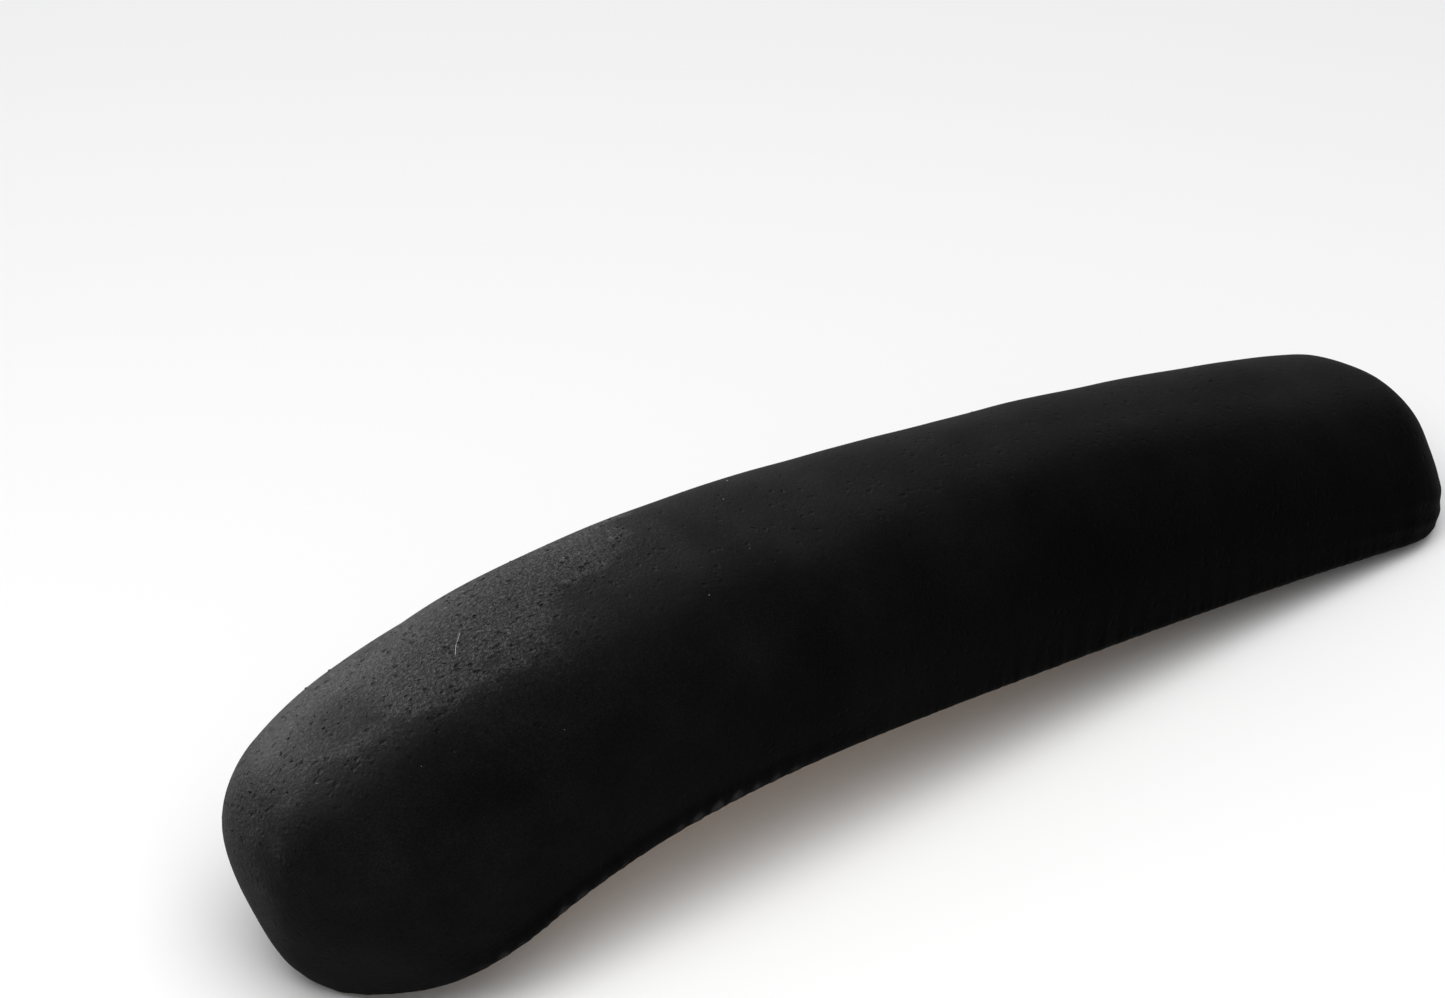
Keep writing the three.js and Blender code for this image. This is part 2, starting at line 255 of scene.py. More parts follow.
def crowned_side(inset, low, columns, rows):
    """Loops from rise `low` to the crown, closer near the rim."""
    return straight_side(inset, flat_rise(low), crown_rise(inset), columns, rows, RIM_CROWDING)


def shell_side(inset, floor, margin, columns, rim_rows, side_rows, margin_rows):
    """Loops of one face of a skin: from its mouth, out to the rim, and up to the crown."""
    loops = []
    for tuck in np.linspace(margin - inset, RIM_RADIUS, margin_rows):
        loops.append(loop_round(inset, flat_rise(floor), columns, tuck=tuck))
    for angle in np.linspace(0, np.pi / 2, rim_rows + 1)[1:]:
        rise = floor + RIM_RADIUS * (1 - math.cos(angle))
        loops.append(loop_round(inset, flat_rise(rise), columns, tuck=RIM_RADIUS * (1 - math.sin(angle))))
    return np.concatenate([loops, crowned_side(inset, floor + RIM_RADIUS, columns, side_rows)[1:]])


def flat_cap(inset, rise, columns, rows):
    """Loops from the middle line out to the edge at rise(s), leaving out the edge itself."""
    return np.array([loop_round(inset, rise, columns, squeeze=reach)
                     for reach in np.linspace(0, 1, rows + 1)[:-1]])


# ---------- Meshes ----------
def to_mm(loops):
    return place(loops[..., 0], loops[..., 1], loops[..., 2])


def quads(rows, columns):
    """Faces of a grid of closed loops."""
    i, j = np.meshgrid(np.arange(rows - 1), np.arange(columns), indexing="ij")
    k = (j + 1) % columns
    faces = np.stack([i * columns + j, i * columns + k, (i + 1) * columns + k, (i + 1) * columns + j], -1)
    return faces.reshape(-1, 4)


def closed_faces(rings, sides):
    """Faces of a tube through rings of points, with its two ends closed."""
    last = (rings - 1) * sides
    return [*quads(rings, sides).tolist(), [*range(sides)][::-1], [*range(last, last + sides)]]


def unit(vectors):
    return vectors / np.maximum(np.linalg.norm(vectors, axis=-1, keepdims=True), 1e-9)


def add_object(name, data):
    piece = bpy.data.objects.new(name, data)
    bpy.context.scene.collection.objects.link(piece)
    return piece


def make_object(name, points_mm, faces, smooth=True, merge=0.0, tone=None):
    """Object of points in millimetres. merge joins points that close and turns the faces outwards."""
    mesh = bpy.data.meshes.new(name)
    mesh.from_pydata((np.asarray(points_mm) * MM).tolist(), [], [list(face) for face in faces])
    # tone holds the painted light and shade along the cover's lower edge.
    if tone is not None:
        mesh.attributes.new("edge_tone", "FLOAT", "POINT").data.foreach_set("value", tone.ravel())
    if merge:
        bm = bmesh.new()
        bm.from_mesh(mesh)
        bmesh.ops.remove_doubles(bm, verts=bm.verts, dist=merge * MM)
        bmesh.ops.dissolve_degenerate(bm, edges=bm.edges, dist=1e-8)
        bmesh.ops.recalc_face_normals(bm, faces=bm.faces)
        bm.to_mesh(mesh)
        bm.free()
    mesh.polygons.foreach_set("use_smooth", [smooth] * len(mesh.polygons))
    return add_object(name, mesh)


def loops_object(name, loops_mm, tone=None):
    """Closed skin through loops whose first and last are each shrunk to a line, or lie on each other."""
    rows, columns = loops_mm.shape[:2]
    return make_object(name, loops_mm.reshape(-1, 3), quads(rows, columns), merge=0.002, tone=tone)


def grid_normals(points):
    """Outward unit normals of a grid of closed loops that climbs from the rim."""
    around = np.roll(points, -1, 1) - np.roll(points, 1, 1)
    return unit(np.cross(np.gradient(points, axis=0), around))


def close_crown(points):
    """Brings the two sides of the last loop onto one line."""
    points[-1] = (points[-1] + np.roll(points[-1][::-1], 1, 0)) / 2


def around_length(points):
    """Distance travelled round each loop, (rows, columns)."""
    steps = np.linalg.norm(np.roll(points, -1, 1) - points, axis=-1)
    return np.concatenate([np.zeros((len(points), 1)), np.cumsum(steps, 1)[:, :-1]], 1)


def add_slot(piece, material):
    piece.data.materials.clear()
    piece.data.materials.append(material)


def finish_piece(piece, material, slot, *nodes, fill=None):
    """Gives a piece its material and its body, and hides the frame's nodes that it takes the place of. slot
    is not used.
    """
    add_slot(piece, material)
    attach(piece, "root")
    if nodes:
        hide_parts(*nodes)
    return piece


# ---------- Soft irregularity ----------
def swell(points, wavelength, seed, waves=28):
    """Smooth random height field over points in millimetres, about -1 to 1."""
    draw = np.random.default_rng(seed)
    heading = unit(draw.normal(size=(waves, 3)))
    pitch = 2 * np.pi / (wavelength * draw.uniform(0.75, 1.6, waves))
    phase = draw.uniform(0, 2 * np.pi, waves)
    total = np.zeros(points.shape[:-1])
    for k in range(waves):
        total += np.sin(points @ heading[k] * pitch[k] + phase[k])
    return total / math.sqrt(waves)


def gathers(along, above, points, pitch, reach, drift, seed):
    """Fine folds that run up from a gathered edge and die away, about 0 to 1.

    `along` is the distance round the edge, and `above` the distance from it.
    """
    length = along.max()
    folds = round(length / pitch)
    wander = 0.9 * swell(points, 7 * pitch, seed) + 0.5 * swell(points, 3 * pitch, seed + 1)
    phase = 2 * np.pi * folds * along / length + wander + drift * above
    ridge = 0.5 + 0.5 * np.cos(phase)
    uneven = np.clip(0.75 + 0.45 * swell(points, 6 * pitch, seed + 2), 0.15, 1.6)
    return ridge * uneven * np.exp(-np.maximum(above, 0) / (reach * np.clip(uneven, 0.6, 1.4)))


# ---------- Cloth ----------
CLOTH_COLUMNS, CLOTH_ROWS = 300, 30
CLOTH_FRAMES = 20
CLOTH_CAP = 2.2
CLOTH_GATHERS = (9.0, 9.0, 0.03, 41)
CLOTH = {"quality": 5, "mass": 0.2, "tension_stiffness": 12, "compression_stiffness": 8,
         "bending_stiffness": 0.4, "air_damping": 4, "use_pressure": True, "uniform_pressure_force": 4,
         "shrink_min": -0.012, "vertex_group_mass": "held"}


def simulate_cover():
    """Movement of the cover's face under a light pressure, held at its hem, in millimetres.

    The same grid as the finished face, coarser: rows from the rim to the crown.
    """
    side = crowned_side(0.0, RIM_RADIUS, CLOTH_COLUMNS, CLOTH_ROWS - 1)
    floor = flat_cap(0.0, flat_rise(RIM_RADIUS), CLOTH_COLUMNS, 3)
    rest = to_mm(side)
    folds = gathers(around_length(rest), side[..., 2] - RIM_RADIUS, side, *CLOTH_GATHERS)
    rippled = rest + grid_normals(rest) * (folds * 0.2 + swell(side, 40.0, 42) * 0.12)[..., None]
    points = np.concatenate([to_mm(floor), rippled])
    faces = quads(len(points), CLOTH_COLUMNS)
    last = (len(points) - 1) * CLOTH_COLUMNS
    faces = np.where(faces > last + CLOTH_COLUMNS // 2, 2 * last + CLOTH_COLUMNS - faces, faces)
    doll = make_object("cloth_doll", points.reshape(-1, 3), faces)
    held = doll.vertex_groups.new(name="held")
    first_side = len(floor) * CLOTH_COLUMNS
    held.add(list(range(first_side + CLOTH_COLUMNS)), 1.0, "REPLACE")
    cloth = doll.modifiers.new("cloth", "CLOTH")
    for key, value in CLOTH.items():
        setattr(cloth.settings, key, value)
    cloth.settings.effector_weights.gravity = 0
    scene = bpy.context.scene
    scene.frame_start, scene.frame_end = 1, CLOTH_FRAMES
    cloth.point_cache.frame_start, cloth.point_cache.frame_end = 1, CLOTH_FRAMES
    for number in range(1, CLOTH_FRAMES + 1):
        scene.frame_set(number)
    done = doll.evaluated_get(bpy.context.evaluated_depsgraph_get()).to_mesh()
    flat = np.empty(len(done.vertices) * 3, np.float32)
    done.vertices.foreach_get("co", flat)
    after = flat.reshape(-1, 3)[first_side:].reshape(rest.shape) / MM
    bpy.data.objects.remove(doll)
    scene.frame_set(1)
    after[-1, CLOTH_COLUMNS // 2 + 1:] = after[-1, 1:CLOTH_COLUMNS // 2][::-1]
    moved = after - rest
    length = np.linalg.norm(moved, axis=-1, keepdims=True)
    return moved * np.minimum(1, CLOTH_CAP / np.maximum(length, 1e-6))


def finer(field, rows, columns):
    """A grid field carried over to new row places and more columns, smoothly."""
    old_columns = field.shape[1]
    at = np.arange(columns) * old_columns / columns
    base = np.floor(at).astype(int)
    t = (at - base)[None, :, None]
    p = [field[:, (base + k) % old_columns] for k in (-1, 0, 1, 2)]
    wide = (p[1] + 0.5 * t * (p[2] - p[0] + t * (2 * p[0] - 5 * p[1] + 4 * p[2] - p[3]
                                                 + t * (3 * (p[1] - p[2]) + p[3] - p[0]))))
    lower = np.clip(np.floor(rows).astype(int), 0, len(field) - 2)
    t = (rows - lower)[:, None, None]
    return wide[lower] * (1 - t) + wide[lower + 1] * t


# ---------- The slip cover ----------
COVER_COLUMNS = 1200
RIM_ROWS, SIDE_ROWS, MARGIN_ROWS = 5, 46, 6
RIM_ROW = MARGIN_ROWS + RIM_ROWS - 1  # the top of the rim, from which the side goes up

# Soft bulges and dents of the stretched cover: s, y and rise of the middle, reach, and height.
UNEVEN_SPOTS = [
    (46, -22, 30, 26, 1.6), (84, -20, 36, 20, 0.9), (142, -22, 40, 26, -0.6), (210, -22, 41, 26, 1.0),
    (240, -26, 39, 18, 0.5), (306, -28, 45, 24, -2.4), (338, -20, 41, 10, 0.9), (349, 0, 10, 12, 2.0),
    (342, 24, 2, 12, -0.8), (8, 26, 9, 9, 1.0), (8, 20, 21, 9, -0.8), (14, -14, 31, 9, -0.6),
    (10, 0, 30, 8, 0.7),
]
# Creases round the rear end: rise at the tip, climb for each millimetre of s, width and height.
REAR_CREASES = [(4.5, 0.075, 1.5, 0.42), (9.5, 0.13, 2.0, 0.3)]
# Gathers, as (pitch, reach, drift for each millimetre above the edge, seed).
FINE_GATHERS = (2.9, 3.0, 0.10, 21)
BROAD_GATHERS = (7.3, 6.0, 0.16, 31)
BUNCHED_GATHERS = (5.8, 3.2, 0.1, 51)
BUNCHED_CRESTS = (5.8, 1.6, 0.35, 51)
CRESTS_FROM = 2.3
BUNCH_START, BUNCH_END = (190, 50), (300, 35)  # s, and the length over which it changes
SHADE_RISE, SHADE_WIDTH = 4.8, 2.0


def uneven(loops):
    total = np.zeros(loops.shape[:-1])
    for s, y, rise, reach, height_here in UNEVEN_SPOTS:
        away = np.linalg.norm(loops - np.array([s, y, rise]), axis=-1)
        total += height_here * np.exp(-((away / reach) ** 2))
    return total


def edge_distance(points):
    """Distance travelled round the top of the rim at each point's column."""
    return np.broadcast_to(around_length(points)[RIM_ROW], points.shape[:-1])


def cover_height(loops, points):
    """How far the cover's face stands out from the plain shape, in millimetres."""
    s, rise = loops[..., 0], loops[..., 2]
    along = edge_distance(points)
    above = rise - RIM_RADIUS
    middle = smooth_step(np.minimum(s, PAD_LENGTH - s) / 55)
    dents = 0.10 * swell(loops, 55.0, 11) + 0.04 * swell(loops, 22.0, 12)
    fine = gathers(along, above, loops, *FINE_GATHERS) * (0.10 + 0.14 * middle)
    broad = gathers(along, above, loops, *BROAD_GATHERS) * (0.13 + 0.05 * middle)
    folds = (fine + broad) * (0.3 + 0.7 * smooth_step(rise / 4))
    pulled = 0.12 * gathers(along, above, loops, *BUNCHED_GATHERS)
    folds = folds + bunched(s) * (pulled - 0.15 * edge_shade(rise))
    return dents * smooth_step(rise / 12) + uneven(loops) + folds + rear_creases(s, rise) - 0.1


def bunched(s):
    """0 to 1: the stretch behind the nose where the hem's gathers are bunched up."""
    (start, growing), (end, fading) = BUNCH_START, BUNCH_END
    return smooth_step((s - start) / growing) * (1 - smooth_step((s - end) / fading))


def edge_shade(rise):
    """0 to 1: the shaded dip just above the gathers."""
    return np.exp(-(((rise - SHADE_RISE) / SHADE_WIDTH) ** 2))


def edge_tone(loops, points):
    """Above 0 for a painted highlight on the crests of the bunched gathers, and below 0 for painted shade
    over them.
    """
    s, rise = loops[..., 0], loops[..., 2]
    crests = gathers(edge_distance(points), rise - CRESTS_FROM, loops, *BUNCHED_CRESTS)
    patchy = np.clip(0.6 + 0.5 * swell(loops, 16.0, 52), 0, 1)
    return bunched(s) * (1.7 * patchy * crests ** 1.5 - 0.6 * edge_shade(rise))


def rear_creases(s, rise):
    """Soft creases that run round the rear end, just above the hem."""
    total = 0
    for start, slope, width, height_here in REAR_CREASES:
        total = total + height_here * np.exp(-(((rise - start - slope * s) / width) ** 2))
    return total * (1 - smooth_step((s - 20) / 60))


def build_cover(material):
    outer = shell_side(0.0, 0.0, COVER_MARGIN, COVER_COLUMNS, RIM_ROWS, SIDE_ROWS, MARGIN_ROWS)
    inner = shell_side(COVER, COVER, COVER_MARGIN, COVER_COLUMNS, 2, 12, 2)
    outer_mm, inner_mm = to_mm(outer), to_mm(inner)
    moved = simulate_cover()
    row_at = np.linspace(0, 1, SIDE_ROWS + 1) * (len(moved) - 1)
    shaped = outer_mm + grid_normals(outer_mm) * cover_height(outer, outer_mm)[..., None]
    shaped[RIM_ROW:] += finer(moved, row_at, COVER_COLUMNS)
    close_crown(shaped)
    points = np.concatenate([inner_mm[::-1], shaped])
    # Painted highlight and shade along the cover's lower edge; none on its inside.
    tone = np.concatenate([np.zeros(inner.shape[:2]), edge_tone(outer, outer_mm)])
    piece = loops_object("cover_knit", points, tone)
    return finish_piece(piece, material, "cover_knit", "slip_cover", fill=0.9)


# ---------- The other soft layers ----------
LAYER_COLUMNS = 320


def build_shell(name, node, slot, outer, inner, material, ripple, fill):
    """A skin between two faces, rippled a little on its outer one."""
    outer_mm = to_mm(outer)
    outer_mm += grid_normals(outer_mm) * ripple(outer)[..., None]
    close_crown(outer_mm)
    piece = loops_object(name, np.concatenate([to_mm(inner)[::-1], outer_mm]))
    return finish_piece(piece, material, slot, node, fill=fill)


def build_liner(material):
    outer = shell_side(LINER_INSET, LINER_INSET, LINER_MARGIN, LAYER_COLUMNS, 3, 20, 8)
    inner_inset = LINER_INSET + LINER
    inner = shell_side(inner_inset, inner_inset, LINER_MARGIN, LAYER_COLUMNS, 3, 20, 4)
    ripple = lambda loops: 0.12 * swell(loops, 9.0, 51) - 0.15
    return build_shell("liner_cloth", "inner_liner", "liner_cloth", outer, inner, material, ripple, 0.9)


def build_wadding(material):
    outer, inner = [straight_side(inset, flat_rise(WADDING_INSET), crown_rise(inset), LAYER_COLUMNS, 26)
                    for inset in (WADDING_INSET, WADDING_INSET + WADDING)]
    ripple = lambda loops: -0.15 + 0.12 * swell(loops, 6.0, 52)
    return build_shell("wadding_wrap", "wadding_layer", "wadding", outer, inner, material, ripple, 0.9)


def foam_split(s):
    return np.maximum(height(s) - BODY_INSET - COMFORT, CORE_LOW + GAP)


def build_foam(name, node, low, high, rows, material, flat_top):
    """A block from low(s) to high(s), closed over its top where that is flat and not the crown."""
    cap = lambda rise: flat_cap(BODY_INSET, rise, LAYER_COLUMNS, 5)
    loops = [cap(low), straight_side(BODY_INSET, low, high, LAYER_COLUMNS, rows)]
    if flat_top:
        loops.append(cap(high)[::-1])
    piece = loops_object(name, to_mm(np.concatenate(loops)))
    return finish_piece(piece, material, node, node, fill=1.0)


def build_comfort_foam(material):
    return build_foam("comfort_foam_sheet", "comfort_foam", lambda s: foam_split(s) + GAP,
                      crown_rise(BODY_INSET), 20, material, False)


def build_core_foam(material):
    return build_foam("core_foam_block", "core_foam", flat_rise(CORE_LOW), foam_split, 8, material, True)


# ---------- The hem ----------
HEM_COLUMNS = 900
HEM_TURN = 30.0  # the stretch at either end in which the hem turns round
ENDLESS = 1e9  # the reach of gathers that don't die away
HEM_GATHERS = (3.4, ENDLESS, 0.0, 61)
HEM_FOLDS = (10.2, ENDLESS, 0.0, 63)


def band_loops(section, columns):
    """Loops of a band round the underside, one for each (inset, rise) of its closed section."""
    return np.array([loop_round(0.0, flat_rise(rise), columns, tuck=inset) for inset, rise in section])


def build_band(name, node, slot, section, material, pucker, columns, fill):
    """A band round the underside. pucker(loops, along) gives its rise and inset changes."""
    loops = band_loops(section, columns)
    along = np.broadcast_to(around_length(to_mm(loops))[0], loops.shape[:-1])
    lift, slide = pucker(loops, along)
    inward = np.array([PAD_LENGTH / 2, 0]) - loops[..., :2]
    inward[..., 0] = np.where(np.abs(inward[..., 0]) < PAD_LENGTH / 2 - HEM_TURN, 0, inward[..., 0])
    loops[..., :2] += unit(inward) * slide[..., None]
    loops[..., 2] += lift
    piece = loops_object(name, to_mm(np.concatenate([loops, loops[:1]])))
    return finish_piece(piece, material, slot, node, fill=fill)


def hem_section():
    """The hem's ply: out along the top, round the fold at the mouth, and back along the bottom."""
    mid = (HEM_TOP + HEM_LOW) / 2
    turn = (HEM_TOP - HEM_LOW) / 2
    straight = HEM_INSIDE - turn
    angles = np.linspace(np.pi / 2, -np.pi / 2, 7)
    outer = [(HEM_OUTSIDE, HEM_TOP), ((HEM_OUTSIDE + straight) / 2, HEM_TOP)]
    outer += [(straight + turn * math.cos(a), mid + turn * math.sin(a)) for a in angles]
    outer += [(HEM_OUTSIDE + t * (straight - HEM_OUTSIDE), HEM_LOW) for t in (0.75, 0.5, 0.25, 0.0)]
    inside = turn - HEM_PLY
    inner = [(HEM_OUTSIDE, mid - inside), ((HEM_OUTSIDE + straight) / 2, mid - inside)]
    inner += [(straight + inside * math.cos(a), mid + inside * math.sin(a)) for a in angles[::-1]]
    inner += [((HEM_OUTSIDE + straight) / 2, mid + inside), (HEM_OUTSIDE, mid + inside)]
    return outer + inner


def hem_pucker(loops, along):
    """Gathers that grow from the hem's seam to its mouth."""
    share_in = smooth_step((hem_inset(loops) - HEM_OUTSIDE) / HEM_WIDTH)
    folds = gathers(along, 0 * along, loops, *HEM_GATHERS)
    broad = gathers(along, 0 * along, loops, *HEM_FOLDS)
    lift = -(0.45 * folds + 0.35 * broad) * share_in + 0.25 * share_in
    slide = (0.5 * folds - 0.3 * broad) * share_in
    return lift, slide


def hem_inset(loops):
    """Inset of each loop of the hem, from the way that its section is laid out."""
    return np.array([inset for inset, _ in hem_section()])[:, None] + 0 * loops[..., 0]


def build_hem(material):
    return build_band("hem_fold", "hem_casing", "cover_knit", hem_section(), material,
                      hem_pucker, HEM_COLUMNS, 0.3)


def build_elastic(material):
    low = HEM_LOW + HEM_PLY + GAP
    out, inside = HEM_OUTSIDE + GAP, HEM_INSIDE - HEM_PLY - GAP
    top = [(out + t * (inside - out), low + ELASTIC) for t in np.linspace(0, 1, 6)]
    bottom = [(out + t * (inside - out), low) for t in np.linspace(1, 0, 6)]
    still = lambda loops, along: (0.05 * np.sin(along * 2 * np.pi / 1.6), 0 * along)
    return build_band("elastic_band", "hem_elastic", "elastic_band", top + bottom, material,
                      still, 600, 0.2)


# ---------- Tee nuts ----------
NUT = {"bore": 2.6, "root": 3.0, "barrel": 3.9, "flange": 9.0, "flange_thickness": 1.2, "pitch": 1.0}
PRONG = {"count": 4, "width": 2.4, "thickness": 1.0, "length": 5.0, "radius": 7.2}
NUT_END_RECESS = 0.6
NUT_SIDES = 48
BOLT_PLACES = {end: FIRST_BOLT + k * BOLT_SPACING for k, end in enumerate(("rear", "middle", "front"))}


def turned(profile, sides, radius_at):
    """Skin round Z through a closed profile of (radius, height), with the radii that radius_at gives."""
    angle = np.arange(sides) * 2 * np.pi / sides
    rings = []
    for index, (radius, level) in enumerate(profile):
        radii = radius_at(index, radius, level, angle)
        rings.append(np.stack([radii * np.cos(angle), radii * np.sin(angle), np.full(sides, level)], -1))
    rings.append(rings[0])
    return np.array(rings)


def tee_nut_parts():
    """Points and faces of one tee nut, flange underside at height 0."""
    barrel_length = CORE_LOW - BOARD_LOW - SEAT_DEPTH - NUT_END_RECESS
    top = NUT["flange_thickness"]
    soft = 0.25
    outside = [(NUT["root"] + soft, -barrel_length), (NUT["barrel"] - soft, -barrel_length),
               (NUT["barrel"], -barrel_length + soft), (NUT["barrel"], -soft), (NUT["barrel"] + soft, 0.0),
               (NUT["flange"] - soft, 0.0), (NUT["flange"], soft), (NUT["flange"], top - soft),
               (NUT["flange"] - soft, top), (NUT["root"] + soft, top)]
    steps = int((top + barrel_length) / NUT["pitch"] * 8)
    bore = [(NUT["root"], level) for level in np.linspace(top - soft, -barrel_length + soft, steps)]

    def thread(index, radius, level, angle):
        if index < len(outside):
            return np.full(len(angle), radius)
        turn = (level / NUT["pitch"] - angle / (2 * np.pi)) % 1
        return NUT["root"] - (NUT["root"] - NUT["bore"]) * (1 - np.abs(2 * turn - 1))

    rings = turned(outside + bore, NUT_SIDES, thread)
    points = [rings.reshape(-1, 3)]
    faces = [quads(len(rings), NUT_SIDES)]
    used = len(points[0])
    for k in range(PRONG["count"]):
        spike, spike_faces = prong_parts(2 * np.pi * (k + 0.5) / PRONG["count"])
        points.append(spike)
        faces.append(spike_faces + used)
        used += len(spike)
    return np.concatenate(points), np.concatenate(faces)


def prong_parts(turn):
    """A pointed prong, bent down from the flange, as points and quads."""
    rings = []
    for level, width in [(0.5, 1.0), (-0.4, 1.0), (-0.5 * PRONG["length"], 0.85), (-PRONG["length"], 0.12)]:
        wide = PRONG["width"] / 2 * width
        thick = PRONG["thickness"] / 2
        corners = [(-thick, -wide), (thick, -wide), (thick, wide), (-thick, wide)]
        rings.append([(PRONG["radius"] + x, y, level) for x, y in corners])
    cosine, sine = math.cos(turn), math.sin(turn)
    points = np.reshape(rings, (-1, 3)) @ np.array([[cosine, sine, 0], [-sine, cosine, 0], [0, 0, 1]])
    return points, np.array(closed_faces(len(rings), 4))


def board_frame(s, y, rise, turn=0.0):
    """Matrix, in millimetres, of a point on the underside: X along it and Z square to it."""
    angle = np.interp(s, SPINE[0], SPINE[3])
    matrix = Matrix.Rotation(angle, 4, "Y") @ Matrix.Rotation(turn, 4, "Z")
    matrix.translation = Vector(place(np.array(float(s)), y, rise))
    return matrix


def moved_points(points, matrix):
    turn = np.array(matrix.to_3x3())
    return points @ turn.T + np.array(matrix.translation)


def build_tee_nuts(material):
    points, faces = tee_nut_parts()
    for end, s in BOLT_PLACES.items():
        piece = make_object(f"tee_nut_{end}", moved_points(points, board_frame(s, 0, CORE_LOW)), faces,
                            merge=0.001)
        finish_piece(piece, material, "zinc_steel", f"t_nut_{end}")


# ---------- Node trees ----------
class Wire:
    """A value socket on which arithmetic adds Math nodes."""

    def __init__(self, tree, socket):
        self.tree = tree
        self.socket = socket

    def math(self, operation, other):
        made = self.tree.add("ShaderNodeMath", {"operation": operation}, {0: self, 1: other})
        return Wire(self.tree, made.outputs[0])

    def __add__(self, other):
        return self.math("ADD", other)

    def __sub__(self, other):
        return self.math("SUBTRACT", other)

    def __mul__(self, other):
        return self.math("MULTIPLY", other)


class Tree:
    """A node tree under construction, of a material or of copies."""

    def __init__(self, made_in):
        self.made_in = made_in

    def plug(self, socket, value):
        """Links a wire or a socket, or sets a plain value."""
        if isinstance(value, Wire):
            value = value.socket
        if isinstance(value, bpy.types.NodeSocket):
            self.made_in.links.new(value, socket)
        else:
            socket.default_value = value

    def add(self, kind, settings=None, inputs=None):
        made = self.made_in.nodes.new(kind)
        for key, value in (settings or {}).items():
            setattr(made, key, value)
        for key, value in (inputs or {}).items():
            self.plug(made.inputs[key], value)
        return made


# ---------- Repeated small things ----------
def repeat_group(name):
    """Node group that puts a turned and scaled copy of one shape on each point."""
    group = bpy.data.node_groups.new(name, "GeometryNodeTree")
    for socket, kind in (("Geometry", "Geometry"), ("Shape", "Object"), ("Size Spread", "Float"),
                         ("Seed", "Int"), ("Material", "Material")):
        group.interface.new_socket(socket, in_out="INPUT", socket_type="NodeSocket" + kind)
    group.interface.new_socket("Geometry", in_out="OUTPUT", socket_type="NodeSocketGeometry")

    def usable(sockets, label):
        return next(socket for socket in sockets if socket.enabled and socket.name == label)

    tree = Tree(group)
    start = tree.add("NodeGroupInput").outputs
    shape = tree.add("GeometryNodeObjectInfo", None, {"Object": start["Shape"]}).outputs["Geometry"]
    turn = tree.add("GeometryNodeInputNamedAttribute", {"data_type": "FLOAT_VECTOR"}, {"Name": "turn"})
    turn = tree.add("FunctionNodeEulerToRotation", None, {0: usable(turn.outputs, "Attribute")})
    smallest = tree.add("ShaderNodeMath", {"operation": "SUBTRACT"}, {0: 1.0, 1: start["Size Spread"]})
    size = tree.add("FunctionNodeRandomValue", {"data_type": "FLOAT"}, {"Seed": start["Seed"]})
    tree.plug(usable(size.inputs, "Min"), smallest.outputs[0])
    tree.plug(usable(size.inputs, "Max"), 1.0)
    copies = tree.add("GeometryNodeInstanceOnPoints", None, {
        "Points": start["Geometry"], "Instance": shape, "Rotation": turn.outputs[0],
        "Scale": usable(size.outputs, "Value")})
    real = tree.add("GeometryNodeRealizeInstances", None, {"Geometry": copies.outputs[0]})
    painted = {"Geometry": real.outputs[0], "Material": start["Material"]}
    paint = tree.add("GeometryNodeSetMaterial", None, painted)
    tree.add("NodeGroupOutput", None, {"Geometry": paint.outputs[0]})
    return group


def repeat(name, shape, places, spread, seed, material):
    """One plain mesh of copies of a shape. places are (position in mm, matrix of the turn)."""
    mesh = bpy.data.meshes.new(name + "_points")
    mesh.from_pydata([[c * MM for c in position] for position, _ in places], [], [])
    turns = mesh.attributes.new("turn", "FLOAT_VECTOR", "POINT")
    angles = [list(matrix.to_euler("XYZ")) for _, matrix in places]
    turns.data.foreach_set("vector", np.array(angles, np.float32).ravel())
    carrier = add_object(name + "_points", mesh)
    group = repeat_group(name + "_copies")
    nodes = carrier.modifiers.new("copies", "NODES")
    nodes.node_group = group
    keys = {item.name: item.identifier for item in group.interface.items_tree if item.in_out == "INPUT"}
    for key, value in (("Shape", shape), ("Size Spread", spread), ("Seed", seed), ("Material", material)):
        nodes[keys[key]] = value
    bpy.context.view_layer.update()
    graph = bpy.context.evaluated_depsgraph_get()
    plain = bpy.data.meshes.new_from_object(carrier.evaluated_get(graph))
    plain.name = name
    bpy.data.objects.remove(carrier)
    bpy.data.objects.remove(shape)
    return add_object(name, plain)


STITCH = {"pitch": 2.9, "length": 2.3, "thick": 0.42, "bow": 0.12, "slant": 0.12}
STITCH_ROWS = (1.6, 3.2)  # from the hem's seam
THREAD_ANGLES = [2 * np.pi * k / 6 for k in range(6)]


def stitch_shape():
    """A short thread lying along X, rounded at its ends, bowed up in the middle."""
    stops = np.linspace(-1, 1, 9)
    points = []
    for t in stops:
        radius = STITCH["thick"] / 2 * max(math.sqrt(1 - abs(t) ** 6), 0.05)
        for a in THREAD_ANGLES:
            rise = radius * math.sin(a) + STITCH["bow"] * (1 - t * t)
            points.append((t * STITCH["length"] / 2, radius * math.cos(a), rise))
    return make_object("stitch", points, closed_faces(len(stops), len(THREAD_ANGLES)))


